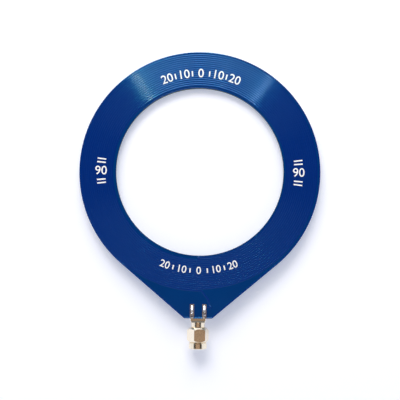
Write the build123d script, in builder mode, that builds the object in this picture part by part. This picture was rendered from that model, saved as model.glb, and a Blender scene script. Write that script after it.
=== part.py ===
from build123d import *

import os
from math import acos, atan2, cos, degrees, hypot, radians, sin

# Loop antenna: a spiral coil on a ring-shaped circuit board, with a coaxial plug on the edge of its tail.
#
# Millimetres. The origin is on the plug's axis at its reference plane, the front face of the outer
# shell. +Y runs from the plug to the loop, +Z comes out of the marked face, and +X is to the right
# as that face is looked at with the plug at the bottom.

# Board
board_thickness = 1.6
ring_hole_diameter = 69.5
ring_band_width = 15.25
tail_reach = 10.6
tail_end_width = 11.5
tail_corner_radius = 0.8

# Copper on the board
copper_height = 0.07
track_width = 0.48
track_gap = 0.36
coil_runs_per_turn = 40
coil_outer_margin = 0.6
coil_inner_margin = 0.6
lead_width = 0.6
lead_bend = (3.85, 8.05)
ground_via_place = (4.9, 4.75)
return_width = 0.8
track_bend_radius = 0.6
via_radius = 0.25
via_wall = 0.08
via_land = 0.17
pad_edge_gap = 0.3
pad_side_margin = 0.35
pad_end_margin = 0.25

# Legs, which hold the board's edge between them
leg_spacing = 5.08
leg_width = 1.0
leg_height = 1.0
leg_length = 3.7
leg_end_chamfer = 0.25

# Lengths of the plug's body, from its reference plane back to the board
shell_length = 1.95
gasket_seat_length = 0.65
barrel_length = 3.75
neck_length = 2.05
flange_thickness = 1.65
snap_groove_setback = 1.05
snap_groove_width = 0.7

# Radii of the plug's body
shell_radius = 2.285
gasket_seat_radius = 2.47
barrel_radius = 2.7
snap_groove_radius = 2.35
neck_radius = 2.9
flange_width = 6.35
shell_chamfer = 0.12
neck_chamfer = 0.15
flange_corner_radius = 0.3
flange_taper_length = 0.8
flange_taper_depth = 0.3

# Insulating bead and contact
bead_radius = 2.05
bead_rear_radius = 1.7
bead_rear_length = 1.0
contact_radius = 0.635
pin_radius = 0.46
pin_length = 2.0
pin_nose_length = 0.4
pin_nose_radius = 0.2
tail_radius = 0.38
tail_length = 4.4
tail_chamfer = 0.12

# Coupling nut
nut_length = 8.9
nut_across_flats = 8.0
nut_turn = 10.5
nut_face_setback = 0.5
collar_length = 2.3
collar_radius = 3.85
collar_chamfer = 0.3
collar_groove_width = 0.25
collar_groove_radius = 3.4
thread_length = 4.3
thread_radius = 2.946
thread_mouth_chamfer = 0.4
thread_relief_radius = 3.2
nut_bearing_clearance = 0.05
nut_rear_gap = 0.05
nut_groove_radius = 3.25

# Snap ring and gasket
snap_ring_thickness = 0.6
snap_ring_inner_radius = 2.4
snap_ring_outer_radius = 3.1
snap_ring_slit = 0.9
snap_ring_side_clearance = 0.1
gasket_radius = 2.9

# Solder
solder_grip = 0.9
solder_ramp = 1.9
solder_foot = 0.3
solder_skin = 0.1
solder_corner = 0.3
pin_solder_length = 3.4
pin_solder_ramp = 0.5
pin_solder_foot = 0.45
pin_solder_height = 0.62

# Places along the plug's axis
gasket_seat_y = shell_length
shoulder_y = gasket_seat_y + gasket_seat_length
neck_y = shoulder_y + barrel_length
flange_y = neck_y + neck_length
board_edge_y = flange_y + flange_thickness
nut_rear_y = neck_y - nut_rear_gap
nut_front_y = nut_rear_y - nut_length
collar_rear_y = nut_front_y + collar_length
hex_front_y = collar_rear_y + collar_groove_width
snap_groove_y = shoulder_y + snap_groove_setback

# Heights: the tail of the centre pin lies on the pad on the back face
board_back_z = tail_radius + copper_height
board_front_z = board_back_z + board_thickness
front_pad_z = board_front_z + copper_height
back_pad_z = board_back_z - copper_height

# The ring and the coil, which has as many whole turns as the band has room for
hole_radius = ring_hole_diameter / 2
ring_radius = hole_radius + ring_band_width
ring_to_tail_end = ring_radius + tail_reach
ring_centre_y = board_edge_y + ring_to_tail_end
coil_outer_radius = ring_radius - coil_outer_margin
coil_inner_radius = hole_radius + coil_inner_margin
track_pitch = track_width + track_gap
coil_turns = int((coil_outer_radius - coil_inner_radius - track_width) / track_pitch)
first_track_radius = coil_outer_radius - track_width / 2
last_track_radius = first_track_radius - coil_turns * track_pitch
coil_via = (0, ring_centre_y - last_track_radius)
ground_via = (ground_via_place[0], board_edge_y + ground_via_place[1])

# Pads
leg_x = leg_spacing / 2
pad_width = leg_width + 2 * pad_side_margin
leg_end_y = board_edge_y + leg_length
pad_length = leg_length + solder_ramp + pad_end_margin - pad_edge_gap
pad_middle_y = board_edge_y + pad_edge_gap + pad_length / 2
signal_pad_width = 2 * (tail_radius + pin_solder_foot)
signal_pad_length = tail_length + pin_solder_ramp + pad_end_margin - pad_edge_gap
signal_pad_middle_y = board_edge_y + pad_edge_gap + signal_pad_length / 2
signal_pad_end_y = signal_pad_middle_y + signal_pad_length / 2

os.makedirs("parts", exist_ok=True)


def across(y):
    """A plane square to the plug's axis, facing the loop."""
    return Plane(origin=(0, y, 0), x_dir=(1, 0, 0), z_dir=(0, 1, 0))


def via_lands(places):
    """Round copper lands with the via's hole, added to the sketch in progress."""
    with Locations(*places):
        Circle(via_radius + via_land)
        Circle(via_radius, mode=Mode.SUBTRACT)


# Board: a ring whose straight tail edges leave the rim at a tangent
tail_half_width = tail_end_width / 2
tail_corner_reach = hypot(tail_half_width, ring_to_tail_end)
tangent_angle = degrees(atan2(tail_half_width, ring_to_tail_end) + acos(ring_radius / tail_corner_reach))

with BuildPart() as board:
    with BuildSketch(Plane((0, ring_centre_y, board_back_z))) as board_plan:
        with BuildLine():
            rim = CenterArc((0, 0), ring_radius, tangent_angle - 90, 360 - 2 * tangent_angle)
            Polyline(
                rim @ 1,
                (-tail_half_width, -ring_to_tail_end),
                (tail_half_width, -ring_to_tail_end),
                rim @ 0,
            )
        make_face()
        fillet(board_plan.vertices().group_by(Axis.Y)[0], tail_corner_radius)
        Circle(hole_radius, mode=Mode.SUBTRACT)
    extrude(amount=board_thickness)
    with BuildSketch(Plane.XY.offset(board_back_z)):
        with Locations(coil_via, ground_via):
            Circle(via_radius)
    extrude(amount=board_thickness, mode=Mode.SUBTRACT)
board.part.label = "board"
export_step(board.part, "parts/board.step")

# Coil: a spiral in short straight runs, as board artwork draws it, wound inwards from the tail
def coil_edge(side):
    """The corners along one edge of the track: side is 1 for the outer edge and -1 for the inner."""
    corners = []
    for run in range(coil_turns * coil_runs_per_turn + 1):
        turn = run / coil_runs_per_turn
        angle = radians(-90 - 360 * turn)
        radius = first_track_radius - turn * track_pitch + side * track_width / 2
        corners.append((radius * cos(angle), ring_centre_y + radius * sin(angle)))
    return corners


with BuildPart() as coil_front:
    with BuildSketch(Plane.XY.offset(board_front_z)):
        with BuildLine():
            Polyline(*coil_edge(1), *reversed(coil_edge(-1)), close=True)
        make_face()
        # the lead leaves the outermost turn along its tangent, for the ground via and the right-hand pad
        lead_start = Vector(0, ring_centre_y - first_track_radius)
        with BuildLine():
            FilletPolyline(
                lead_start,
                lead_start + Vector(2 * track_bend_radius, 0),
                (lead_bend[0], board_edge_y + lead_bend[1]),
                ground_via,
                radius=track_bend_radius,
            )
        trace(line_width=lead_width)
        with BuildLine():
            Line(ground_via, (leg_x + pad_width / 2, ground_via[1]))
        trace(line_width=lead_width)
        via_lands([coil_via, ground_via])
    extrude(amount=copper_height)
coil_front.part.label = "coil_front"
export_step(coil_front.part, "parts/coil_front.step")

# Return track: under the turns from the coil's inner end to the centre pin's pad
with BuildPart() as return_track:
    with BuildSketch(Plane.XY.offset(back_pad_z)):
        with BuildLine():
            Line(coil_via, (0, signal_pad_end_y))
        trace(line_width=return_width)
        via_lands([coil_via])
    extrude(amount=copper_height)
return_track.part.label = "return_track"
export_step(return_track.part, "parts/return_track.step")

# Vias: plated barrels from copper to copper
with BuildPart() as vias:
    with BuildSketch(Plane.XY.offset(back_pad_z)):
        with Locations(coil_via, ground_via):
            Circle(via_radius)
            Circle(via_radius - via_wall, mode=Mode.SUBTRACT)
    extrude(amount=front_pad_z - back_pad_z)
vias.part.label = "vias"
export_step(vias.part, "parts/vias.step")

# Pads for the legs, and for the centre pin
with BuildPart() as front_pads:
    with BuildSketch(Plane.XY.offset(board_front_z)):
        with Locations((-leg_x, pad_middle_y), (leg_x, pad_middle_y)):
            Rectangle(pad_width, pad_length)
    extrude(amount=copper_height)
front_pads.part.label = "front_pads"
export_step(front_pads.part, "parts/front_pads.step")

with BuildPart() as back_pads:
    with BuildSketch(Plane.XY.offset(back_pad_z)):
        with Locations((-leg_x, pad_middle_y), (leg_x, pad_middle_y)):
            Rectangle(pad_width, pad_length)
        with BuildLine():
            Line(ground_via, (leg_x, ground_via[1]))
        trace(line_width=lead_width)
        via_lands([ground_via])
    extrude(amount=copper_height)
back_pads.part.label = "back_pads"
export_step(back_pads.part, "parts/back_pads.step")

with BuildPart() as signal_pad:
    with BuildSketch(Plane.XY.offset(back_pad_z)):
        with Locations((0, signal_pad_middle_y)):
            Rectangle(signal_pad_width, signal_pad_length)
    extrude(amount=copper_height)
signal_pad.part.label = "signal_pad"
export_step(signal_pad.part, "parts/signal_pad.step")

# Plug's body: turned shell, barrel and neck, with a milled flange and four legs
with BuildPart() as connector_body:
    with BuildSketch(across(flange_y + flange_taper_length)):
        RectangleRounded(flange_width, flange_width, flange_corner_radius)
    extrude(amount=flange_thickness - flange_taper_length)
    with BuildSketch(across(flange_y + flange_taper_length)):
        RectangleRounded(flange_width, flange_width, flange_corner_radius)
    with BuildSketch(across(flange_y)):
        flange_front_width = flange_width - 2 * flange_taper_depth
        RectangleRounded(flange_front_width, flange_front_width, flange_corner_radius)
    loft()
    with BuildSketch(Plane.XY):
        with BuildLine():
            Polyline(
                (0, 0),
                (shell_radius - shell_chamfer, 0),
                (shell_radius, shell_chamfer),
                (shell_radius, gasket_seat_y),
                (gasket_seat_radius, gasket_seat_y),
                (gasket_seat_radius, shoulder_y),
                (barrel_radius, shoulder_y),
                (barrel_radius, snap_groove_y),
                (snap_groove_radius, snap_groove_y),
                (snap_groove_radius, snap_groove_y + snap_groove_width),
                (barrel_radius, snap_groove_y + snap_groove_width),
                (barrel_radius, neck_y),
                (neck_radius - neck_chamfer, neck_y),
                (neck_radius, neck_y + neck_chamfer),
                (neck_radius, flange_y),
                (0, flange_y),
                close=True,
            )
        make_face()
    revolve(axis=Axis.Y)
    with BuildSketch(Plane.XY.offset(front_pad_z)) as front_legs:
        with Locations((-leg_x, board_edge_y + leg_length / 2), (leg_x, board_edge_y + leg_length / 2)):
            Rectangle(leg_width, leg_length)
    extrude(amount=leg_height)
    with BuildSketch(Plane.XY.offset(back_pad_z)):
        add(front_legs.sketch_local)
    extrude(amount=-leg_height)
    leg_ends = connector_body.faces().sort_by(Axis.Y)[-4:]
    chamfer(leg_ends.edges(), leg_end_chamfer)
    with BuildSketch(Plane.XY):
        with BuildLine():
            Polyline(
                (0, 0),
                (bead_radius, 0),
                (bead_radius, board_edge_y - bead_rear_length),
                (bead_rear_radius, board_edge_y - bead_rear_length),
                (bead_rear_radius, board_edge_y),
                (0, board_edge_y),
                close=True,
            )
        make_face()
    revolve(axis=Axis.Y, mode=Mode.SUBTRACT)
connector_body.part.label = "connector_body"
export_step(connector_body.part, "parts/connector_body.step")

# Insulating bead: fills the body's stepped bore, flush at both ends
with BuildPart() as insulator:
    with BuildSketch(Plane.XY):
        with BuildLine():
            Polyline(
                (contact_radius, 0),
                (bead_radius, 0),
                (bead_radius, board_edge_y - bead_rear_length),
                (bead_rear_radius, board_edge_y - bead_rear_length),
                (bead_rear_radius, board_edge_y),
                (contact_radius, board_edge_y),
                close=True,
            )
        make_face()
    revolve(axis=Axis.Y)
insulator.part.label = "insulator"
export_step(insulator.part, "parts/insulator.step")

# Contact: a pin in front of the bead and a round tail behind it, which lies on the signal pad
with BuildPart() as centre_pin:
    with BuildSketch(Plane.XY):
        with BuildLine():
            Polyline(
                (0, -pin_length),
                (pin_nose_radius, -pin_length),
                (pin_radius, pin_nose_length - pin_length),
                (pin_radius, 0),
                (contact_radius, 0),
                (contact_radius, board_edge_y),
                (tail_radius, board_edge_y),
                (tail_radius, board_edge_y + tail_length - tail_chamfer),
                (tail_radius - tail_chamfer, board_edge_y + tail_length),
                (0, board_edge_y + tail_length),
                close=True,
            )
        make_face()
    revolve(axis=Axis.Y)
centre_pin.part.label = "centre_pin"
export_step(centre_pin.part, "parts/centre_pin.step")

# Coupling nut: hexagon and collar outside; thread bore, relief, bearing and ring groove inside. As it
# lies, the nut is turned a little on the body, so its flats are not level with the flange's.
nut_face_radius = nut_across_flats / 2 - nut_face_setback
nut_corner_radius = nut_across_flats / 2 / cos(radians(30))
hex_chamfer_length = nut_corner_radius - nut_face_radius
nut_bearing_radius = barrel_radius + nut_bearing_clearance
nut_groove_y = snap_groove_y - snap_ring_side_clearance
nut_groove_end_y = snap_groove_y + snap_ring_thickness + snap_ring_side_clearance
thread_end_y = nut_front_y + thread_length
relief_end_y = shoulder_y + snap_ring_side_clearance

with BuildPart() as coupling_nut:
    with BuildSketch(across(hex_front_y)):
        RegularPolygon(nut_across_flats / 2, 6, major_radius=False, rotation=nut_turn)
    extrude(amount=nut_rear_y - hex_front_y)
    with BuildSketch(Plane.XY):
        with BuildLine():
            Polyline(
                (0, hex_front_y),
                (nut_face_radius, hex_front_y),
                (nut_corner_radius, hex_front_y + hex_chamfer_length),
                (nut_corner_radius, nut_rear_y - hex_chamfer_length),
                (nut_face_radius, nut_rear_y),
                (0, nut_rear_y),
                close=True,
            )
        make_face()
    revolve(axis=Axis.Y, mode=Mode.INTERSECT)
    with BuildSketch(Plane.XY):
        with BuildLine():
            Polyline(
                (0, nut_front_y),
                (collar_radius - collar_chamfer, nut_front_y),
                (collar_radius, nut_front_y + collar_chamfer),
                (collar_radius, collar_rear_y),
                (collar_groove_radius, collar_rear_y),
                (collar_groove_radius, hex_front_y),
                (0, hex_front_y),
                close=True,
            )
        make_face()
    revolve(axis=Axis.Y)
    with BuildSketch(Plane.XY):
        with BuildLine():
            Polyline(
                (0, nut_front_y),
                (thread_radius + thread_mouth_chamfer, nut_front_y),
                (thread_radius, nut_front_y + thread_mouth_chamfer),
                (thread_radius, thread_end_y),
                (thread_relief_radius, thread_end_y),
                (thread_relief_radius, relief_end_y),
                (nut_bearing_radius, relief_end_y),
                (nut_bearing_radius, nut_groove_y),
                (nut_groove_radius, nut_groove_y),
                (nut_groove_radius, nut_groove_end_y),
                (nut_bearing_radius, nut_groove_end_y),
                (nut_bearing_radius, nut_rear_y),
                (0, nut_rear_y),
                close=True,
            )
        make_face()
    revolve(axis=Axis.Y, mode=Mode.SUBTRACT)
coupling_nut.part.label = "coupling_nut"
export_step(coupling_nut.part, "parts/coupling_nut.step")

# Snap ring: split, seated on the front wall of the body's groove and reaching into the nut's
with BuildPart() as snap_ring:
    with BuildSketch(across(snap_groove_y)):
        Circle(snap_ring_outer_radius)
        Circle(snap_ring_inner_radius, mode=Mode.SUBTRACT)
        with Locations((0, -snap_ring_outer_radius)):
            Rectangle(snap_ring_slit, 2 * snap_ring_outer_radius, mode=Mode.SUBTRACT)
    extrude(amount=snap_ring_thickness)
snap_ring.part.label = "snap_ring"
export_step(snap_ring.part, "parts/snap_ring.step")

# Gasket: on the seat in front of the barrel's shoulder
with BuildPart() as gasket:
    with BuildSketch(across(gasket_seat_y)):
        Circle(gasket_radius)
        Circle(gasket_seat_radius, mode=Mode.SUBTRACT)
    extrude(amount=gasket_seat_length)
gasket.part.label = "gasket"
export_step(gasket.part, "parts/gasket.step")

# Solder on the legs: it grips the end of each leg and runs down in a ramp to the end of the pad
solder_reach = solder_grip + solder_foot - solder_skin

for name, seat_z, outward in (("front_solder", front_pad_z, 1), ("back_solder", back_pad_z, -1)):
    with BuildPart() as leg_solder:
        for x in (-leg_x, leg_x):
            seat = Plane(origin=(x, leg_end_y, seat_z), x_dir=(outward, 0, 0), z_dir=(0, 0, outward))
            with BuildSketch(seat) as foot:
                with Locations((0, (solder_ramp - solder_reach) / 2)):
                    Rectangle(leg_width + 2 * solder_foot, solder_ramp + solder_reach)
                chamfer(foot.vertices(), solder_corner)
            with BuildSketch(seat.offset(leg_height + solder_skin)) as top:
                with Locations((0, (solder_skin - solder_grip) / 2)):
                    Rectangle(leg_width + 2 * solder_skin, solder_skin + solder_grip)
                chamfer(top.vertices(), solder_corner)
            loft()
        add(connector_body.part, mode=Mode.SUBTRACT)
    leg_solder.part.label = name
    export_step(leg_solder.part, f"parts/{name}.step")

# Solder along the centre pin's tail
pin_solder_y = board_edge_y + tail_length + pin_solder_ramp - pin_solder_length / 2
pin_solder_seat = Plane(origin=(0, pin_solder_y, back_pad_z), x_dir=(1, 0, 0), z_dir=(0, 0, -1))

with BuildPart() as pin_solder:
    with BuildSketch(pin_solder_seat) as foot:
        Rectangle(2 * (tail_radius + solder_foot), pin_solder_length)
        chamfer(foot.vertices(), solder_corner)
    with BuildSketch(pin_solder_seat.offset(pin_solder_height)) as top:
        Rectangle(2 * (tail_radius + solder_skin), pin_solder_length - 2 * (solder_foot - solder_skin))
        chamfer(top.vertices(), solder_corner)
    loft()
    add(centre_pin.part, mode=Mode.SUBTRACT)
pin_solder.part.label = "pin_solder"
export_step(pin_solder.part, "parts/pin_solder.step")
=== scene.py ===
import math

import bpy
import bmesh
from mathutils import Matrix, Vector


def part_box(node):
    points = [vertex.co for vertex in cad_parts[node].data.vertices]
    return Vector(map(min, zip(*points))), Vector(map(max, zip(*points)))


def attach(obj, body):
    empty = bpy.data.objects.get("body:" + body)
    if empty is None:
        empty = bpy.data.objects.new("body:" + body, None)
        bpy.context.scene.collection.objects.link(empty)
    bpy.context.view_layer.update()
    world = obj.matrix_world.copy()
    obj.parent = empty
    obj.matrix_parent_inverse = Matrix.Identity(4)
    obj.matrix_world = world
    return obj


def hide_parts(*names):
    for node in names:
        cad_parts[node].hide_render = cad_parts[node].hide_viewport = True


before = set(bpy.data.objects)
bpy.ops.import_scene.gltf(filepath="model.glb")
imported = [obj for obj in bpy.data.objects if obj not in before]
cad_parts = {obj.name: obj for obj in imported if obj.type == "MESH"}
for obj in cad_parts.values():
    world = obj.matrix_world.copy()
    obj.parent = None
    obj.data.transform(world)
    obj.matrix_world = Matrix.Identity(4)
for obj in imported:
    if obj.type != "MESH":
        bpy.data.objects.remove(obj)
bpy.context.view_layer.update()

# Table.
# The antenna lies on a plain white table, on the lowest edge of the plug's nut and on the far edge of the
# ring. The table is the plane through those two, a matt white that stays white to the camera.
MM = 0.001
nut_low, nut_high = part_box("coupling_nut")
board_low, board_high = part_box("board")
nut_chamfer = 1.12 * MM
nut_edge_end = nut_high.y - nut_chamfer
table_slope = math.atan2(board_low.z - nut_low.z, board_high.y - nut_edge_end)


def linear(hex_colour):
    """An sRGB hex colour as linear red, green, blue and alpha."""
    channels = [int(hex_colour[i:i + 2], 16) / 255 for i in (1, 3, 5)]
    return (*[c / 12.92 if c <= 0.04045 else ((c + 0.055) / 1.055) ** 2.4 for c in channels], 1.0)


def add_node(tree, kind, values=None, links=None, **settings):
    """A node with its settings, the values of its sockets and what feeds them."""
    node = tree.nodes.new(kind)
    for name, value in settings.items():
        setattr(node, name, value)
    for name, value in (values or {}).items():
        node.inputs[name].default_value = value
    for name, source in (links or {}).items():
        tree.links.new(source, node.inputs[name])
    return node


def new_material(name):
    """A material with an empty node tree, and that tree."""
    material = bpy.data.materials.new(name)
    material.use_nodes = True
    material.node_tree.nodes.clear()
    return material, material.node_tree


def give(piece, material):
    """The piece has this one material."""
    piece.data.materials.clear()
    piece.data.materials.append(material)


table_half = 3.0
table_glow = 0.38
table_corners = ((-1, -1), (1, -1), (1, 1), (-1, 1))
table_mesh = bpy.data.meshes.new("table")
table_mesh.from_pydata([(x * table_half, y * table_half, 0) for x, y in table_corners], [], [(0, 1, 2, 3)])
table = bpy.data.objects.new("table", table_mesh)
bpy.context.scene.collection.objects.link(table)
table.location = (0, board_high.y, board_low.z)
table.rotation_euler = (table_slope, 0, 0)

# the table glows a little for the camera and in reflections, which leaves its shadows on it
paper, tree = new_material("white_table")
rays = add_node(tree, "ShaderNodeLightPath")
seen = add_node(
    tree,
    "ShaderNodeMath",
    links={0: rays.outputs["Is Camera Ray"], 1: rays.outputs["Is Glossy Ray"]},
    operation="ADD",
)
seen = add_node(tree, "ShaderNodeMath", links={0: seen.outputs[0], 1: rays.outputs["Is Transmission Ray"]},
                operation="ADD", use_clamp=True)
lift = add_node(tree, "ShaderNodeMath", values={1: table_glow}, links={0: seen.outputs[0]},
                operation="MULTIPLY")
surface = add_node(
    tree,
    "ShaderNodeBsdfPrincipled",
    values={"Base Color": linear("#EBEBED"), "Roughness": 0.9, "Emission Color": linear("#CEDDFF")},
    links={"Emission Strength": lift.outputs[0]},
)
add_node(tree, "ShaderNodeOutputMaterial", links={"Surface": surface.outputs[0]})
give(table, paper)

# Surroundings and lamps.
# Bright walls all round and a dark room above them, which is warm over the plug's end of the table. A
# window of three panes and the low lights stand behind the ring, and a slim tube hangs at each side.
world = bpy.data.worlds.new("studio")
bpy.context.scene.world = world
world.use_nodes = True
tree = world.node_tree
tree.nodes.clear()
place = add_node(tree, "ShaderNodeTexCoord")
up = add_node(tree, "ShaderNodeSeparateXYZ", links={0: place.outputs["Generated"]})
tilt = add_node(tree, "ShaderNodeMath", links={0: up.outputs["Z"]}, operation="ARCCOSINE")
tilt = add_node(tree, "ShaderNodeMath", values={1: math.pi / 2}, links={0: tilt.outputs[0]},
                operation="DIVIDE")
# each half of the room by the angle from straight up, in degrees: the plug's half, then the ring's half,
# which meet just on the plug's side of straight up
wall_white = "#F6F8FF"
halves = []
for overhead, bands in (
    (
        "#2E2822",
        ((3, "#2E2822"), (6, "#BDA28C"), (24, "#BDA28C"), (29, "#26201A"), (44, "#26201A"), (58, wall_white)),
    ),
    ("#1E1C1A", ((46, "#1E1C1A"), (60, wall_white))),
):
    half = add_node(tree, "ShaderNodeValToRGB", links={0: tilt.outputs[0]})
    stops = half.color_ramp.elements
    stops[0].color = linear(overhead)
    stops[1].color = linear(wall_white)
    for degrees, colour in bands:
        stops.new(degrees / 90).color = linear(colour)
    halves.append(half.outputs[0])
side = add_node(tree, "ShaderNodeMapRange", values={"From Min": -0.07, "From Max": -0.02},
                links={"Value": up.outputs["Y"]})
around = add_node(tree, "ShaderNodeMixRGB",
                  links={"Fac": side.outputs[0], "Color1": halves[0], "Color2": halves[1]})
rays = add_node(tree, "ShaderNodeLightPath")
sky = add_node(
    tree,
    "ShaderNodeMixRGB",
    values={"Color2": linear("#FFFFFF")},
    links={"Fac": rays.outputs["Is Camera Ray"], "Color1": around.outputs[0]},
)
background = add_node(tree, "ShaderNodeBackground", values={"Strength": 1.0}, links={"Color": sky.outputs[0]})
add_node(tree, "ShaderNodeOutputWorld", links={"Surface": background.outputs[0]})

ring_middle = Vector((0, board_high.y - (board_high.x - board_low.x) / 2, board_high.z))


def lamp(name, azimuth, elevation, distance, size, power, colour):
    """A rectangular lamp round the ring's middle. Azimuth 0 is towards +Y and 90 towards +X."""
    data = bpy.data.lights.new(name, "AREA")
    data.shape = "RECTANGLE"
    data.size, data.size_y = size
    data.energy = power
    data.color = linear(colour)[:3]
    light = bpy.data.objects.new(name, data)
    bpy.context.scene.collection.objects.link(light)
    a, e = math.radians(azimuth), math.radians(elevation)
    way = Vector((math.sin(a) * math.cos(e), math.cos(a) * math.cos(e), math.sin(e)))
    light.location = ring_middle + distance * way
    light.rotation_mode = "QUATERNION"
    light.rotation_quaternion = way.to_track_quat("Z", "Y")


# azimuth and elevation in degrees, distance and size in metres, power in watts
lamp("window_left", -21.8, 54, 0.8, (0.19, 0.1), 0.32, "#FFFFFF")
lamp("window_middle", 1.1, 54, 0.8, (0.19, 0.1), 0.28, "#FFFFFF")
lamp("window_right", 22.0, 54, 0.8, (0.18, 0.1), 0.24, "#FFFFFF")
lamp("key_light", -14, 42, 1.1, (0.8, 0.28), 6.6, "#FFFBF4")
lamp("low_light_left", -50, 24, 1.1, (0.8, 0.26), 0.4, "#FFFBF4")
lamp("low_strip_left", -20, 28, 1.1, (0.38, 0.12), 1.7, "#FFFBF4")
lamp("low_strip_right", 9, 28, 1.1, (0.38, 0.12), 1.7, "#FFFBF4")
lamp("low_light_right", 34, 24, 1.1, (0.8, 0.26), 0.6, "#FFFBF4")
lamp("left_tube", -29.5, 63, 0.75, (0.01, 0.16), 0.22, "#FFE3A4")
lamp("right_tube", 31.2, 63, 0.75, (0.01, 0.16), 0.14, "#F4F8FF")

# Camera.
# It looks straight down on the table over the ring, and is turned by just under a degree, as in the
# photograph. The ring's middle lies a little above the middle of the picture.
picture_width = 400
photo_pixel = 0.4143 * MM
photo_turn = math.radians(0.7)
lens = 85.0
camera_data = bpy.data.cameras.new("camera")
camera_data.lens = lens
camera_data.sensor_width = 36.0
camera = bpy.data.objects.new("camera", camera_data)
bpy.context.scene.collection.objects.link(camera)
bpy.context.scene.camera = camera
camera_height = picture_width * photo_pixel * lens / camera_data.sensor_width
aim_aside = 0.2 * MM
aim_drop = 28.3 * photo_pixel
aim = Vector((aim_aside, ring_middle.y - aim_drop, board_high.z))
upright = Matrix.Rotation(table_slope, 4, "X")
stand = Matrix.Translation(aim + upright @ Vector((0, 0, camera_height)))
camera.matrix_world = stand @ upright @ Matrix.Rotation(photo_turn, 4, "Z")

# Board.
# A ring with a pointed tail, routed from 1.6 mm glass-epoxy laminate, with blue solder mask screened on
# both faces and cured glossy. The routed edge is bare, so the layers of glass cloth show there.
mask_film = 0.03 * MM
ply_thickness = 0.2 * MM


def film_ripple(tree):
    """The slight waviness of a screened and cured film, in patches of about 1.1 mm, as a normal."""
    place = add_node(tree, "ShaderNodeTexCoord")
    ripple = add_node(
        tree,
        "ShaderNodeTexNoise",
        values={"Scale": 0.9 / MM, "Detail": 2.0},
        links={"Vector": place.outputs["Object"]},
    )
    return add_node(tree, "ShaderNodeBump", values={"Strength": 0.03, "Distance": 0.2 * MM},
                    links={"Height": ripple.outputs[0]}).outputs[0]


# solder mask is a dyed epoxy: the eye gets a deep, clear blue with a thin gloss, a little uneven over
# patches of about 17 mm; the routed glass cloth is dull, pale and greenish, in layers of 0.2 mm, with
# bundles of fibres 0.4 mm across
laminate, tree = new_material("blue_mask_on_laminate")
ripple = film_ripple(tree)
place = add_node(tree, "ShaderNodeTexCoord")
patches = add_node(tree, "ShaderNodeTexNoise", values={"Scale": 0.06 / MM, "Detail": 1.0},
                   links={"Vector": place.outputs["Object"]})
film_colour = add_node(
    tree,
    "ShaderNodeMixRGB",
    values={"Color1": linear("#00306C"), "Color2": linear("#003876")},
    links={"Fac": patches.outputs[0]},
)
face = add_node(
    tree,
    "ShaderNodeBsdfPrincipled",
    values={"Roughness": 0.12, "Specular IOR Level": 0.12},
    links={"Base Color": film_colour.outputs[0], "Normal": ripple},
)
height = add_node(tree, "ShaderNodeSeparateXYZ", links={0: place.outputs["Object"]})
middle = (board_low.z + board_high.z) / 2
core = (board_high.z - board_low.z) / 2 - mask_film
away = add_node(tree, "ShaderNodeMath", values={1: middle}, links={0: height.outputs["Z"]},
                operation="SUBTRACT")
away = add_node(tree, "ShaderNodeMath", links={0: away.outputs[0]}, operation="ABSOLUTE")
inside = add_node(tree, "ShaderNodeMath", values={1: core}, links={0: away.outputs[0]}, operation="LESS_THAN")
phase = add_node(tree, "ShaderNodeMath", values={1: 2 * math.pi / ply_thickness},
                 links={0: height.outputs["Z"]}, operation="MULTIPLY")
ply = add_node(tree, "ShaderNodeMath", links={0: phase.outputs[0]}, operation="SINE")
fibres = add_node(tree, "ShaderNodeTexNoise", values={"Scale": 2.5 / MM, "Detail": 3.0},
                  links={"Vector": place.outputs["Object"]})
grain = add_node(tree, "ShaderNodeMath", values={1: 0.3}, links={0: ply.outputs[0], 2: fibres.outputs[0]},
                 operation="MULTIPLY_ADD", use_clamp=True)
glass = add_node(
    tree,
    "ShaderNodeMixRGB",
    values={"Color1": linear("#6E7A5E"), "Color2": linear("#B4BB9A")},
    links={"Fac": grain.outputs[0]},
)
rough = add_node(tree, "ShaderNodeBump", values={"Strength": 0.4, "Distance": 0.02 * MM},
                 links={"Height": grain.outputs[0]})
edge = add_node(tree, "ShaderNodeBsdfPrincipled", values={"Roughness": 0.75, "Specular IOR Level": 0.3},
                links={"Base Color": glass.outputs[0], "Normal": rough.outputs[0]})
both = add_node(tree, "ShaderNodeMixShader",
                links={0: inside.outputs[0], 1: face.outputs[0], 2: edge.outputs[0]})
add_node(tree, "ShaderNodeOutputMaterial", links={"Surface": both.outputs[0]})
give(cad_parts["board"], laminate)

# Coil.
# Sixteen turns of etched copper under the mask, wound inwards from the tail, and the lead that leaves them
# for the right-hand pad. The mask flows over each track and leaves a rounded ridge, which is all that shows.
track_width = 0.48 * MM
track_pitch = 0.84 * MM
coil_margin = 0.6 * MM
coil_turns = 16
ridge_width = 0.8 * MM
ridge_sunk = 0.02 * MM
coil_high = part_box("coil_front")[1]
via_low, via_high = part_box("vias")
ridge_height = coil_high.z - board_high.z
ring_radius = (board_high.x - board_low.x) / 2
first_radius = ring_radius - coil_margin - track_width / 2
last_radius = first_radius - coil_turns * track_pitch

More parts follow.
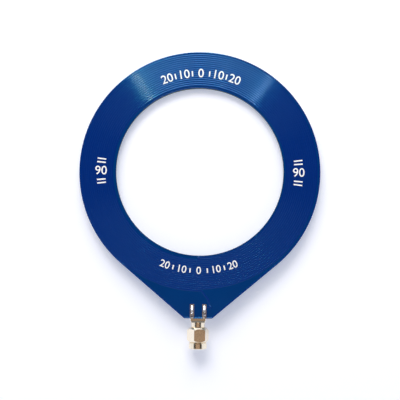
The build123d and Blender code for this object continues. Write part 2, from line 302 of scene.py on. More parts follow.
# a ridge of film is swept along whatever line it is given, and along the winding where that is asked for
ridge_tree = bpy.data.node_groups.new("mask_ridge", "GeometryNodeTree")
ridge_tree.interface.new_socket("Geometry", in_out="INPUT", socket_type="NodeSocketGeometry")
for name, kind in (
    ("Wound", "NodeSocketBool"),
    ("Turns", "NodeSocketFloat"),
    ("Outer Radius", "NodeSocketFloat"),
    ("Inner Radius", "NodeSocketFloat"),
    ("Centre", "NodeSocketVector"),
    ("Steps In A Turn", "NodeSocketInt"),
    ("Half Width", "NodeSocketFloat"),
    ("Height", "NodeSocketFloat"),
    ("Sunk", "NodeSocketFloat"),
    ("Material", "NodeSocketMaterial"),
):
    ridge_tree.interface.new_socket(name, in_out="INPUT", socket_type=kind)
ridge_tree.interface.new_socket("Geometry", in_out="OUTPUT", socket_type="NodeSocketGeometry")
given = add_node(ridge_tree, "NodeGroupInput").outputs
spiral = add_node(
    ridge_tree,
    "GeometryNodeCurveSpiral",
    values={"Height": 0.0, "Reverse": False},
    links={
        "Resolution": given["Steps In A Turn"],
        "Rotations": given["Turns"],
        "Start Radius": given["Outer Radius"],
        "End Radius": given["Inner Radius"],
    },
)
placed = add_node(
    ridge_tree,
    "GeometryNodeTransform",
    values={"Rotation": (0, 0, -math.pi / 2)},
    links={"Geometry": spiral.outputs[0], "Translation": given["Centre"]},
)
winding = add_node(ridge_tree, "GeometryNodeSwitch",
                   links={"Switch": given["Wound"], "True": placed.outputs[0]}, input_type="GEOMETRY")
paths = add_node(ridge_tree, "GeometryNodeJoinGeometry", links={0: winding.outputs[0]})
ridge_tree.links.new(given["Geometry"], paths.inputs[0])
level = add_node(ridge_tree, "GeometryNodeSetCurveNormal", links={"Curve": paths.outputs[0]}, mode="Z_UP")
# the section is a circle's points, moved onto a raised cosine above and a flat below
loop = add_node(ridge_tree, "GeometryNodeCurvePrimitiveCircle", values={"Resolution": 16, "Radius": 1.0})
point = add_node(ridge_tree, "GeometryNodeInputPosition")
point = add_node(ridge_tree, "ShaderNodeSeparateXYZ", links={0: point.outputs[0]})
across = add_node(ridge_tree, "ShaderNodeMath", links={0: point.outputs["X"], 1: given["Half Width"]},
                  operation="MULTIPLY")
wave = add_node(ridge_tree, "ShaderNodeMath", values={1: math.pi}, links={0: point.outputs["X"]},
                operation="MULTIPLY")
wave = add_node(ridge_tree, "ShaderNodeMath", links={0: wave.outputs[0]}, operation="COSINE")
wave = add_node(ridge_tree, "ShaderNodeMath", values={1: -0.5, 2: -0.5}, links={0: wave.outputs[0]},
                operation="MULTIPLY_ADD")
crest = add_node(ridge_tree, "ShaderNodeMath", links={0: wave.outputs[0], 1: given["Height"]},
                 operation="MULTIPLY")
above = add_node(ridge_tree, "ShaderNodeMath", values={1: 0.01}, links={0: point.outputs["Y"]},
                 operation="LESS_THAN")
rise = add_node(ridge_tree, "ShaderNodeMix",
                links={0: above.outputs[0], 2: given["Sunk"], 3: crest.outputs[0]})
section = add_node(ridge_tree, "ShaderNodeCombineXYZ", links={"X": across.outputs[0], "Y": rise.outputs[0]})
loop = add_node(ridge_tree, "GeometryNodeSetPosition",
                links={"Geometry": loop.outputs[0], "Position": section.outputs[0]})
swept = add_node(
    ridge_tree,
    "GeometryNodeCurveToMesh",
    values={"Fill Caps": True},
    links={"Curve": level.outputs[0], "Profile Curve": loop.outputs[0]},
)
smooth = add_node(ridge_tree, "GeometryNodeSetShadeSmooth", links={"Geometry": swept.outputs[0]})
real = add_node(ridge_tree, "GeometryNodeRealizeInstances", links={0: smooth.outputs[0]})
faced = add_node(ridge_tree, "GeometryNodeSetMaterial",
                 links={"Geometry": real.outputs[0], "Material": given["Material"]})
add_node(ridge_tree, "NodeGroupOutput", links={0: faced.outputs[0]})

# the same mask over copper: the metal below throws light back through the dye, so the eye gets a soft blue
# sheen under the film's sharper gloss wherever a light is mirrored
covered, tree = new_material("blue_mask_on_copper")
ripple = film_ripple(tree)
face = add_node(
    tree,
    "ShaderNodeBsdfPrincipled",
    values={
        "Base Color": linear("#052B7C"),
        "Roughness": 0.12,
        "IOR": 2.0,
        "Specular IOR Level": 0.55,
        "Specular Tint": linear("#20B8FF"),
        "Coat Weight": 0.45,
        "Coat Roughness": 0.06,
        "Coat IOR": 1.5,
    },
    links={"Normal": ripple, "Coat Normal": ripple},
)
add_node(tree, "ShaderNodeOutputMaterial", links={"Surface": face.outputs[0]})


def settled(piece, name):
    """The piece as its modifiers leave it, as a plain mesh object of that name."""
    bpy.context.view_layer.update()
    graph = bpy.context.evaluated_depsgraph_get()
    mesh = bpy.data.meshes.new_from_object(piece.evaluated_get(graph))
    bpy.data.objects.remove(piece)
    plain = bpy.data.objects.new(name, mesh)
    mesh.name = name
    bpy.context.scene.collection.objects.link(plain)
    return plain


def mask_ridge(name, lines, closed=False, **sizes):
    """A ridge of film along each line of points, with the tree's inputs given by name, as a plain mesh."""
    curve = bpy.data.curves.new(name, "CURVE")
    curve.dimensions = "3D"
    for points in lines:
        spline = curve.splines.new("POLY")
        spline.points.add(len(points) - 1)
        spline.use_cyclic_u = closed
        for place, point in zip(spline.points, points):
            place.co = (*point, 1.0)
    piece = bpy.data.objects.new(name + "_line", curve)
    bpy.context.scene.collection.objects.link(piece)
    sweep = piece.modifiers.new("mask_ridge", "NODES")
    sweep.node_group = ridge_tree
    for input_name, value in sizes.items():
        sweep[ridge_tree.interface.items_tree[input_name.replace("_", " ")].identifier] = value
    return settled(piece, name)


lead_first_run = 1.2 * MM
lead_bend = Vector((3.85 * MM, 18.1 * MM, board_high.z))
lead_last_run = 1.6 * MM
via_radius = 0.25 * MM
ground_via = Vector((via_high.x - via_radius, via_low.y + via_radius, board_high.z))
inner_via = Vector((0, via_high.y - via_radius, board_high.z))
coil_start = Vector((0, ring_middle.y - first_radius, board_high.z))
coil = mask_ridge(
    "coil_ridges",
    [[
        coil_start,
        coil_start + Vector((lead_first_run, 0, 0)),
        lead_bend,
        ground_via,
        ground_via - Vector((lead_last_run, 0, 0)),
    ]],
    Wound=True,
    Turns=float(coil_turns),
    Outer_Radius=first_radius,
    Inner_Radius=last_radius,
    Centre=(0.0, ring_middle.y, board_high.z),
    Steps_In_A_Turn=144,
    Half_Width=ridge_width / 2,
    Height=ridge_height,
    Sunk=ridge_sunk,
    Material=covered,
)
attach(coil, "antenna")
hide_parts("coil_front")

# Film bead.
# Wet mask draws back a little from the routed edge and gathers in a low bead beside it, round the whole
# outline and round the hole. It is the same cured film as on the board, and gives the edge its thin glint.
bead_width = 0.46 * MM
bead_height = 0.08 * MM
bead_setback = 0.28 * MM
plug_back_y = 10.05 * MM
tail_half_width = 5.75 * MM
tail_corner_radius = 0.8 * MM
hole_radius = 34.75 * MM
outline_steps = 260
corner_steps = 6
hole_steps = 240


def arc(centre, radius, start, end, steps):
    """Points along an arc on the board's face, angles in radians from +X."""
    angles = [start + (end - start) * i / steps for i in range(steps + 1)]
    x, y = centre
    return [Vector((x + radius * math.cos(a), y + radius * math.sin(a), board_high.z)) for a in angles]


tail_drop = ring_middle.y - plug_back_y
tail_reach = math.hypot(tail_half_width, tail_drop)
flank = math.atan2(tail_half_width, tail_drop) + math.acos(ring_radius / tail_reach) - math.pi / 2
corner = tail_corner_radius - bead_setback
corner_y = plug_back_y + bead_setback + corner
corner_reach = ring_radius - bead_setback - corner
corner_x = (corner_reach - (corner_y - ring_middle.y) * math.sin(flank)) / math.cos(flank)
outline = (
    arc((0, ring_middle.y), ring_radius - bead_setback, flank, math.pi - flank, outline_steps)
    + arc((-corner_x, corner_y), corner, math.pi - flank, 1.5 * math.pi, corner_steps)
    + arc((corner_x, corner_y), corner, -0.5 * math.pi, flank, corner_steps)
)
last_angle = 2 * math.pi * (hole_steps - 1) / hole_steps
hole_line = arc((0, ring_middle.y), hole_radius + bead_setback, 0, last_angle, hole_steps - 1)
for name, line, film in (("rim_bead", outline, covered), ("hole_bead", hole_line, laminate)):
    bead = mask_ridge(
        name,
        [line],
        closed=True,
        Wound=False,
        Half_Width=bead_width / 2,
        Height=bead_height,
        Sunk=ridge_sunk,
        Material=film,
    )
    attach(bead, "antenna")

# Return track.
# One wide copper track on the back face, under the turns, from the coil's inner end to the centre pin's
# pad. It is covered by the same mask as the coil, in the same kind of ridge, facing down.
return_half_width = 0.56 * MM
pad_overlap = 0.2 * MM
return_low, return_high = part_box("return_track")
pin_pad_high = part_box("signal_pad")[1]
track = mask_ridge(
    "return_ridge",
    [[Vector((0, pin_pad_high.y - pad_overlap, 0)), Vector((0, inner_via.y, 0))]],
    Wound=False,
    Half_Width=return_half_width,
    Height=return_high.z - return_low.z,
    Sunk=ridge_sunk,
    Material=covered,
)
track.data.transform(Matrix.Translation((0, 0, board_low.z)) @ Matrix.Rotation(math.pi, 4, "Y"))
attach(track, "antenna")
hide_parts("return_track")

# Vias.
# Drilled holes with plated copper walls, one at the coil's inner end and one that ties the grounds. The
# mask runs over both ends of each and sags into the hole, a small dimpled disc of film.

# plated copper: a warm pinkish metal with a fine matt grain from the bath, drawn 0.25 mm coarse to show
bare_copper, tree = new_material("plated_copper")
place = add_node(tree, "ShaderNodeTexCoord")
tone = add_node(tree, "ShaderNodeTexNoise", values={"Scale": 4 / MM},
                links={"Vector": place.outputs["Object"]})
colour = add_node(
    tree,
    "ShaderNodeMixRGB",
    values={"Color1": linear("#C4815C"), "Color2": linear("#DDA07A")},
    links={"Fac": tone.outputs[0]},
)
face = add_node(tree, "ShaderNodeBsdfPrincipled", values={"Metallic": 1.0, "Roughness": 0.35},
                links={"Base Color": colour.outputs[0]})
add_node(tree, "ShaderNodeOutputMaterial", links={"Surface": face.outputs[0]})
give(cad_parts["vias"], bare_copper)

tent_steps = 28
tent_sunk = 0.01 * MM
# distances from the hole's middle and heights over the face, in mm
tent_section = [
    (0.0, 0.075), (0.1, 0.078), (0.2, 0.09), (0.29, 0.097),
    (0.37, 0.088), (0.45, 0.055), (0.53, 0.02), (0.6, 0.0),
]
tents = bmesh.new()
for via in (ground_via, inner_via):
    for face_z, outward in ((board_high.z, 1), (board_low.z, -1)):
        rings = []
        for radius, rise in tent_section[1:]:
            ring = []
            for i in range(tent_steps):
                a = 2 * math.pi * i / tent_steps
                x = via.x + radius * MM * math.cos(a)
                y = via.y + radius * MM * math.sin(a)
                ring.append(tents.verts.new((x, y, face_z + outward * rise * MM)))
            rings.append(ring)
        top = tents.verts.new((via.x, via.y, face_z + outward * tent_section[0][1] * MM))
        foot = tents.verts.new((via.x, via.y, face_z - outward * tent_sunk))
        for i in range(tent_steps):
            j = (i + 1) % tent_steps
            tents.faces.new((top, rings[0][i], rings[0][j]))
            for inner, outer in zip(rings, rings[1:]):
                tents.faces.new((inner[i], outer[i], outer[j], inner[j]))
            tents.faces.new((rings[-1][i], foot, rings[-1][j]))
bmesh.ops.recalc_face_normals(tents, faces=tents.faces)
for tent_face in tents.faces:
    tent_face.smooth = True
tent_mesh = bpy.data.meshes.new("via_tents")
tents.to_mesh(tent_mesh)
tents.free()
via_tents = bpy.data.objects.new("via_tents", tent_mesh)
bpy.context.scene.collection.objects.link(via_tents)
give(via_tents, covered)
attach(via_tents, "antenna")

# Pads.
# Copper left bare of mask under the four legs and under the centre pin's tail, tinned at the board's maker
# by a dip and a blast of hot air, so that it takes solder.

# molten tin levelled by air: bright, soft-edged and a little rippled, with duller patches of flux of 0.7 mm
tin, tree = new_material("hot_air_levelled_tin")
place = add_node(tree, "ShaderNodeTexCoord")
flux = add_node(tree, "ShaderNodeTexNoise", values={"Scale": 1.5 / MM, "Detail": 3.0},
                links={"Vector": place.outputs["Object"]})
colour = add_node(
    tree,
    "ShaderNodeMixRGB",
    values={"Color1": linear("#B9B5B8"), "Color2": linear("#E2E3E6")},
    links={"Fac": flux.outputs[0]},
)
dull = add_node(tree, "ShaderNodeMapRange", values={"To Min": 0.42, "To Max": 0.2},
                links={"Value": flux.outputs[0]})
swell = add_node(tree, "ShaderNodeBump", values={"Strength": 0.25, "Distance": 0.03 * MM},
                 links={"Height": flux.outputs[0]})
face = add_node(
    tree,
    "ShaderNodeBsdfPrincipled",
    values={"Metallic": 1.0},
    links={"Base Color": colour.outputs[0], "Roughness": dull.outputs[0], "Normal": swell.outputs[0]},
)
add_node(tree, "ShaderNodeOutputMaterial", links={"Surface": face.outputs[0]})
for name in ("front_pads", "back_pads", "signal_pad"):
    give(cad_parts[name], tin)

# Plug's body.
# Turned from brass bar with a square flange and four legs milled on it, then plated with a thin layer of
# gold. The legs straddle the board's edge and carry a skin of tin from soldering.
feed_drawn = 0.12 * MM
wave_spacing = 0.314  # between the bands of a wave texture at scale 1


def feed_marks(tree):
    """The fine rings that a lathe leaves, as a normal: 0.03 mm apart, drawn 0.12 mm apart to show."""
    place = add_node(tree, "ShaderNodeTexCoord")
    rings = add_node(
        tree,
        "ShaderNodeTexWave",
        values={"Scale": wave_spacing / feed_drawn, "Distortion": 0.4, "Detail": 1.0},
        links={"Vector": place.outputs["Object"]},
        bands_direction="Y",
    )
    return add_node(tree, "ShaderNodeBump", values={"Strength": 0.12, "Distance": 0.01 * MM},
                    links={"Height": rings.outputs["Fac"]}).outputs[0]


# gold over turned brass: a pale champagne metal, bright and warm, with fine rings from the tool; tin on
# the legs is colder, in blotches of 0.9 mm, with an edge over the gold that is ragged in patches of 0.6 mm
tin_reach = 1.6 * MM
tin_begins = plug_back_y + 0.9 * MM
tin_covers = plug_back_y + 1.3 * MM
gold_and_tin, tree = new_material("gold_plated_brass_tinned_legs")
turned = feed_marks(tree)
place = add_node(tree, "ShaderNodeTexCoord")
along = add_node(tree, "ShaderNodeSeparateXYZ", links={0: place.outputs["Object"]})
mottle = add_node(tree, "ShaderNodeTexNoise", values={"Scale": 1.8 / MM, "Detail": 2.0},
                  links={"Vector": place.outputs["Object"]})
wetted = add_node(tree, "ShaderNodeMath", values={1: tin_reach}, operation="MULTIPLY_ADD",
                  links={0: mottle.outputs[0], 2: along.outputs["Y"]})
wetted = add_node(
    tree,
    "ShaderNodeMapRange",
    values={"From Min": tin_begins, "From Max": tin_covers},
    links={"Value": wetted.outputs[0]},
)
blotches = add_node(tree, "ShaderNodeTexNoise", values={"Scale": 1.1 / MM, "Detail": 3.0},
                    links={"Vector": place.outputs["Object"]})
spread = add_node(tree, "ShaderNodeMapRange", values={"From Min": 0.36, "From Max": 0.64},
                  links={"Value": blotches.outputs[0]})
tinned = add_node(
    tree,
    "ShaderNodeMixRGB",
    values={"Color1": linear("#747C98"), "Color2": linear("#EEF0FA")},
    links={"Fac": spread.outputs[0]},
)
colour = add_node(
    tree,
    "ShaderNodeMixRGB",
    values={"Color1": linear("#F6EBD6")},
    links={"Fac": wetted.outputs[0], "Color2": tinned.outputs[0]},
)
lumps = add_node(tree, "ShaderNodeMath", links={0: blotches.outputs[0], 1: wetted.outputs[0]},
                 operation="MULTIPLY")
uneven = add_node(tree, "ShaderNodeBump", values={"Strength": 1.0, "Distance": 0.45 * MM},
                  links={"Height": lumps.outputs[0], "Normal": turned})
shine = add_node(tree, "ShaderNodeMapRange", values={"To Min": 0.17, "To Max": 0.3},
                 links={"Value": wetted.outputs[0]})
face = add_node(
    tree,
    "ShaderNodeBsdfPrincipled",
    values={"Metallic": 1.0},
    links={"Base Color": colour.outputs[0], "Roughness": shine.outputs[0], "Normal": uneven.outputs[0]},
)
add_node(tree, "ShaderNodeOutputMaterial", links={"Surface": face.outputs[0]})
give(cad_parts["connector_body"], gold_and_tin)

# Insulating bead.
# Turned from white PTFE rod and pressed into the body's stepped bore, where it holds the contact in the
# middle and keeps it clear of the metal.

# PTFE is a waxy white plastic: dense white in faint clouds of 1.4 mm, a dull sheen, and rings from turning
ptfe, tree = new_material("turned_ptfe")
turned = feed_marks(tree)
place = add_node(tree, "ShaderNodeTexCoord")
tone = add_node(tree, "ShaderNodeTexNoise", values={"Scale": 0.7 / MM},
                links={"Vector": place.outputs["Object"]})
colour = add_node(
    tree,
    "ShaderNodeMixRGB",
    values={"Color1": linear("#E9E9E3"), "Color2": linear("#F3F3EF")},
    links={"Fac": tone.outputs[0]},
)
face = add_node(tree, "ShaderNodeBsdfPrincipled", values={"Roughness": 0.45, "IOR": 1.38},
                links={"Base Color": colour.outputs[0], "Normal": turned})
add_node(tree, "ShaderNodeOutputMaterial", links={"Surface": face.outputs[0]})
give(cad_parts["insulator"], ptfe)

# Contact.
# One turned brass pin, gold plated: a pin with a tapered nose in front of the bead, and a round tail
# behind it, which lies on its pad on the back face.

# the same plating as on the body, with a slight haze of handling in its gloss, in patches of 1.7 mm
gold, tree = new_material("gold_plated_brass")
turned = feed_marks(tree)
place = add_node(tree, "ShaderNodeTexCoord")
haze = add_node(tree, "ShaderNodeTexNoise", values={"Scale": 0.6 / MM, "Detail": 2.0},
                links={"Vector": place.outputs["Object"]})
shine = add_node(tree, "ShaderNodeMapRange", values={"To Min": 0.13, "To Max": 0.22},
                 links={"Value": haze.outputs[0]})
face = add_node(
    tree,
    "ShaderNodeBsdfPrincipled",
    values={"Base Color": linear("#F6EBD6"), "Metallic": 1.0},
    links={"Roughness": shine.outputs[0], "Normal": turned},
)
add_node(tree, "ShaderNodeOutputMaterial", links={"Surface": face.outputs[0]})
give(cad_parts["centre_pin"], gold)

# Gasket.
# A flat ring of red silicone rubber, moulded in one piece and pushed on to the foot of the plug's shell,
# where it seals against the jack.

# moulded silicone: an opaque brick red, dull, with a powdery bloom in patches of 0.8 mm
silicone, tree = new_material("red_silicone")
place = add_node(tree, "ShaderNodeTexCoord")
bloom = add_node(tree, "ShaderNodeTexNoise", values={"Scale": 1.2 / MM, "Detail": 2.0},
                 links={"Vector": place.outputs["Object"]})
colour = add_node(
    tree,
    "ShaderNodeMixRGB",
    values={"Color1": linear("#9C3A24"), "Color2": linear("#B34C33")},
    links={"Fac": bloom.outputs[0]},
)
face = add_node(tree, "ShaderNodeBsdfPrincipled", values={"Roughness": 0.6, "IOR": 1.41},
                links={"Base Color": colour.outputs[0]})
add_node(tree, "ShaderNodeOutputMaterial", links={"Surface": face.outputs[0]})
give(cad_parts["gasket"], silicone)

# Snap ring.
# A split ring of hard bronze, bent from strip and sprung into the body's groove before the nut goes on. It
# keeps the nut on the body.

# rolled bronze strip: a browner metal than the plating, satin, with tarnish in patches of 1.1 mm
bronze, tree = new_material("spring_bronze")
place = add_node(tree, "ShaderNodeTexCoord")
tarnish = add_node(tree, "ShaderNodeTexNoise", values={"Scale": 0.9 / MM, "Detail": 2.0},
                   links={"Vector": place.outputs["Object"]})
colour = add_node(
    tree,
    "ShaderNodeMixRGB",
    values={"Color1": linear("#B58A58"), "Color2": linear("#D3AC7A")},
    links={"Fac": tarnish.outputs[0]},
)
face = add_node(tree, "ShaderNodeBsdfPrincipled", values={"Metallic": 1.0, "Roughness": 0.32},
                links={"Base Color": colour.outputs[0]})
add_node(tree, "ShaderNodeOutputMaterial", links={"Surface": face.outputs[0]})
give(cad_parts["snap_ring"], bronze)

# Coupling nut.
# Turned and milled from hexagonal brass bar, gold plated, and free to turn on the body. Inside its mouth
# is the thread that draws the plug onto a jack, 36 turns to the inch, cut before the plating.
give(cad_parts["coupling_nut"], gold)
thread_pitch = 0.7056 * MM
thread_wall_radius = 2.946 * MM
thread_crest_radius = 2.79 * MM
thread_root_width = 0.36 * MM
thread_crest_width = 0.1 * MM
thread_bury = 0.03 * MM
thread_setback = 0.5 * MM
thread_turns = 5.0

# the thread's tooth is swept along a helix, its root buried a little in the wall
thread_tree = bpy.data.node_groups.new("inside_thread", "GeometryNodeTree")
thread_tree.interface.new_socket("Geometry", in_out="INPUT", socket_type="NodeSocketGeometry")
for name, kind in (
    ("Turns", "NodeSocketFloat"),
    ("Length", "NodeSocketFloat"),
    ("Middle Radius", "NodeSocketFloat"),
    ("Steps In A Turn", "NodeSocketInt"),
    ("Depth", "NodeSocketFloat"),
    ("Root Width", "NodeSocketFloat"),
    ("Crest Width", "NodeSocketFloat"),
    ("Material", "NodeSocketMaterial"),
):
    thread_tree.interface.new_socket(name, in_out="INPUT", socket_type=kind)
thread_tree.interface.new_socket("Geometry", in_out="OUTPUT", socket_type="NodeSocketGeometry")
given = add_node(thread_tree, "NodeGroupInput").outputs
helix = add_node(
    thread_tree,
    "GeometryNodeCurveSpiral",
    values={"Reverse": True},
    links={
        "Resolution": given["Steps In A Turn"],
        "Rotations": given["Turns"],
        "Start Radius": given["Middle Radius"],
        "End Radius": given["Middle Radius"],
        "Height": given["Length"],
    },
)
level = add_node(thread_tree, "GeometryNodeSetCurveNormal", links={"Curve": helix.outputs[0]}, mode="Z_UP")
tooth = add_node(
    thread_tree,
    "GeometryNodeCurvePrimitiveQuadrilateral",
    values={"Offset": 0.0},
    links={
        "Height": given["Depth"],
        "Bottom Width": given["Root Width"],
        "Top Width": given["Crest Width"],
    },
    mode="TRAPEZOID",
)
tooth = add_node(thread_tree, "GeometryNodeTransform", values={"Rotation": (0, 0, math.pi / 2)},
                 links={"Geometry": tooth.outputs[0]})
swept = add_node(
    thread_tree,
    "GeometryNodeCurveToMesh",
    values={"Fill Caps": True},
    links={"Curve": level.outputs[0], "Profile Curve": tooth.outputs[0]},
)
real = add_node(thread_tree, "GeometryNodeRealizeInstances", links={0: swept.outputs[0]})
faced = add_node(thread_tree, "GeometryNodeSetMaterial",
                 links={"Geometry": real.outputs[0], "Material": given["Material"]})
add_node(thread_tree, "NodeGroupOutput", links={0: faced.outputs[0]})

thread_curve = bpy.data.curves.new("inside_thread", "CURVE")
thread = bpy.data.objects.new("inside_thread", thread_curve)
bpy.context.scene.collection.objects.link(thread)
cut = thread.modifiers.new("inside_thread", "NODES")
cut.node_group = thread_tree
for name, value in (
    ("Turns", thread_turns),
    ("Length", thread_turns * thread_pitch),
    ("Middle Radius", (thread_wall_radius + thread_bury + thread_crest_radius) / 2),
    ("Steps In A Turn", 64),
    ("Depth", thread_wall_radius + thread_bury - thread_crest_radius),
    ("Root Width", thread_root_width),
    ("Crest Width", thread_crest_width),
    ("Material", gold),
):
    cut[thread_tree.interface.items_tree[name].identifier] = value
nut_thread = settled(thread, "nut_thread")
thread_start = Matrix.Translation((0, nut_low.y + thread_setback, 0))
nut_thread.data.transform(thread_start @ Matrix.Rotation(-math.pi / 2, 4, "X"))
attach(nut_thread, "nut")

# Solder joints.
# Tin solder that was melted onto each leg's end with an iron and ran down onto its pad, and along the
# centre pin's tail on the back face. It froze in smooth, rounded mounds with hollow feet.

# fresh tin solder: the brightest metal here, almost a mirror, with a slight skin of ripples of 0.5 mm
solder, tree = new_material("bright_tin_solder")
place = add_node(tree, "ShaderNodeTexCoord")
skin = add_node(tree, "ShaderNodeTexNoise", values={"Scale": 2.2 / MM, "Detail": 1.0},
                links={"Vector": place.outputs["Object"]})
swell = add_node(tree, "ShaderNodeBump", values={"Strength": 0.2, "Distance": 0.03 * MM},
                 links={"Height": skin.outputs[0]})
shine = add_node(tree, "ShaderNodeMapRange", values={"To Min": 0.1, "To Max": 0.24},
                 links={"Value": skin.outputs[0]})
face = add_node(
    tree,
    "ShaderNodeBsdfPrincipled",
    values={"Base Color": linear("#F0F1F3"), "Metallic": 1.0},
    links={"Roughness": shine.outputs[0], "Normal": swell.outputs[0]},
)
add_node(tree, "ShaderNodeOutputMaterial", links={"Surface": face.outputs[0]})

leg_x = 2.54 * MM
leg_length = 3.7 * MM
pin_tail_length = 4.4 * MM
leg_end_y = plug_back_y + leg_length
pin_end_y = plug_back_y + pin_tail_length
joint_sunk = 0.03 * MM
front_pad_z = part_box("front_pads")[1].z
back_pad_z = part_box("back_pads")[0].z
# places along a leg or the pin from its end, in mm, with the joint's half width and height there, also in
# mm, and how square it is
leg_stations = [
    (-1.08, 0.5, 0.3, 3.4),
    (-1.02, 0.62, 0.98, 3.4),
    (-0.85, 0.66, 1.12, 3.2),
    (-0.5, 0.69, 1.16, 3.0),
    (-0.15, 0.71, 1.1, 2.8),
    (0.2, 0.7, 0.95, 2.6),
    (0.6, 0.64, 0.69, 2.4),
    (1.0, 0.54, 0.4, 2.2),
    (1.3, 0.44, 0.2, 2.0),
    (1.55, 0.36, 0.08, 2.0),
    (1.88, 0.22, 0.03, 2.0),
]
pin_stations = [
    (-2.85, 0.42, 0.08, 2.0),
    (-2.7, 0.58, 0.3, 2.2),
    (-2.2, 0.64, 0.5, 2.4),
    (-1.0, 0.66, 0.6, 2.4),
    (-0.1, 0.67, 0.61, 2.4),
    (0.2, 0.62, 0.45, 2.4),
    (0.4, 0.45, 0.16, 2.2),
    (0.48, 0.25, 0.05, 2.0),
]
section_steps = 10


def solder_mound(mesh, x, end_y, seat_z, outward, stations):
    """Adds one joint to the mesh: a rounded section at each station, on a flat foot, closed at both ends."""
    loops = []
    for along, half_width, height, square in stations:
        ring = []
        for i in range(section_steps + 1):
            u = -math.cos(math.pi * i / section_steps)
            rise = height * max(0.0, 1 - abs(u) ** square) ** (1 / 1.7)
            spot = Vector((x + u * half_width * MM, end_y + along * MM, seat_z + outward * rise * MM))
            ring.append(mesh.verts.new(spot))
        for u in (0.5, -0.5):
            spot = Vector((x + u * half_width * MM, end_y + along * MM, seat_z - outward * joint_sunk))
            ring.append(mesh.verts.new(spot))
        loops.append(ring)
    count = len(loops[0])
    for near, far in zip(loops, loops[1:]):
        for i in range(count):
            j = (i + 1) % count
            mesh.faces.new((near[i], near[j], far[j], far[i]))
    mesh.faces.new(loops[0])
    mesh.faces.new(loops[-1])


for name, node, places in (
    ("front_joints", "front_solder", [(x, leg_end_y, front_pad_z, 1, leg_stations) for x in (-leg_x, leg_x)]),
    ("back_joints", "back_solder", [(x, leg_end_y, back_pad_z, -1, leg_stations) for x in (-leg_x, leg_x)]),
    ("pin_joint", "pin_solder", [(0, pin_end_y, back_pad_z, -1, pin_stations)]),
):
    joints = bmesh.new()
    for joint_place in places:
        solder_mound(joints, *joint_place)
    bmesh.ops.recalc_face_normals(joints, faces=joints.faces)
    for joint_face in joints.faces:
        joint_face.smooth = True
    joint_mesh = bpy.data.meshes.new(name)
    joints.to_mesh(joint_mesh)
    joints.free()
    cage = bpy.data.objects.new(name + "_cage", joint_mesh)
    bpy.context.scene.collection.objects.link(cage)
    rounding = cage.modifiers.new("rounding", "SUBSURF")
    rounding.levels = 2
    rounding.render_levels = 2
    joint = settled(cage, name)
    give(joint, solder)
    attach(joint, "antenna")
    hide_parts(node)

# Printed dial.
# White ink screened over the mask as the last step, as a bearing dial for turning the loop. Its numbers
# give the angle from the plug's line, with a tick between each pair.

# screened epoxy ink: an opaque cool white with a satin surface, a little uneven from the mesh of the
# screen, whose threads are about 0.1 mm apart and are drawn 0.33 mm apart to show
ink, tree = new_material("white_screen_ink")
place = add_node(tree, "ShaderNodeTexCoord")
screen = add_node(tree, "ShaderNodeTexNoise", values={"Scale": 3 / MM},
                  links={"Vector": place.outputs["Object"]})
colour = add_node(
    tree,
    "ShaderNodeMixRGB",
    values={"Color1": linear("#EFF2F7"), "Color2": linear("#FFFFFF")},
    links={"Fac": screen.outputs[0]},
)
face = add_node(tree, "ShaderNodeBsdfPrincipled", values={"Roughness": 0.45},
                links={"Base Color": colour.outputs[0]})
add_node(tree, "ShaderNodeOutputMaterial", links={"Surface": face.outputs[0]})
ink_thickness = 0.02 * MM
dial_radius = 41.0 * MM
stroke_gain = 0.03 * MM
tall_number = 3.7 * MM
short_number = 3.1 * MM
digit_share = 0.73
tick_share = 0.6
tick_width = 0.55 * MM
side_tick = 3.6 * MM
print_low = board_high.z + 0.01 * MM
print_high = coil_high.z + ink_thickness
dial = bmesh.new()


def print_mark(mesh, azimuth, turn):
    """Adds a flat mark to the dial, turned about its own middle and moved out to its place on the ring."""
    a = math.radians(azimuth)
    middle = Vector((dial_radius * math.sin(a), ring_middle.y + dial_radius * math.cos(a), print_low))
    mesh.transform(Matrix.Translation(middle) @ Matrix.Rotation(math.radians(turn), 4, "Z"))
    dial.from_mesh(mesh)
    bpy.data.meshes.remove(mesh)


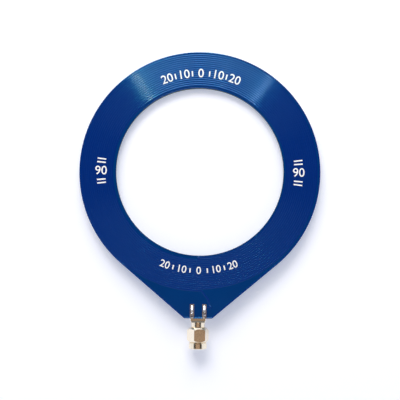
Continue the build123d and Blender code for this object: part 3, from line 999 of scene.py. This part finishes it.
def number(digits, height):
    """A printed number that lies flat, as thick as from the mask to the ink's face."""
    curve = bpy.data.curves.new("number", "FONT")
    curve.body = digits
    curve.size = height / digit_share
    curve.align_x = "CENTER"
    curve.align_y = "CENTER"
    curve.offset = stroke_gain
    curve.extrude = (print_high - print_low) / 2
    curve.resolution_u = 6
    holder = bpy.data.objects.new("number", curve)
    bpy.context.scene.collection.objects.link(holder)
    bpy.context.view_layer.update()
    mesh = bpy.data.meshes.new_from_object(holder.evaluated_get(bpy.context.evaluated_depsgraph_get()))
    mesh.transform(Matrix.Translation((0, 0, curve.extrude)))
    bpy.data.objects.remove(holder)
    return mesh


def tick(length, width):
    """A printed stroke, square at both ends."""
    block = bmesh.new()
    bmesh.ops.create_cube(block, size=1.0)
    bmesh.ops.scale(block, verts=block.verts, vec=(width, length, print_high - print_low))
    bmesh.ops.translate(block, verts=block.verts, vec=(0, 0, (print_high - print_low) / 2))
    mesh = bpy.data.meshes.new("tick")
    block.to_mesh(mesh)
    block.free()
    return mesh


for side, height in ((0, tall_number), (180, short_number)):
    for bearing in (-20, -10, 0, 10, 20):
        azimuth = side + bearing
        print_mark(number(str(abs(bearing)), height), azimuth, side - azimuth)
    for bearing in (-15, -5, 5, 15):
        print_mark(tick(tick_share * height, tick_width), side + bearing, -(side + bearing))
for side in (-90, 90):
    print_mark(number("90", tall_number), side, 0)
    for step in (-7, -5, 5, 7):
        print_mark(tick(side_tick, tick_width), side + step, -(side + step))

dial_mesh = bpy.data.meshes.new("dial_print")
bmesh.ops.remove_doubles(dial, verts=dial.verts, dist=0.001 * MM)
bmesh.ops.recalc_face_normals(dial, faces=dial.faces)
dial.to_mesh(dial_mesh)
dial.free()
dial_print = bpy.data.objects.new("dial_print", dial_mesh)
bpy.context.scene.collection.objects.link(dial_print)
give(dial_print, ink)
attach(dial_print, "antenna")

# Finish.
# The picture is shown as it was lit.
bpy.context.scene.view_settings.view_transform = "Standard"
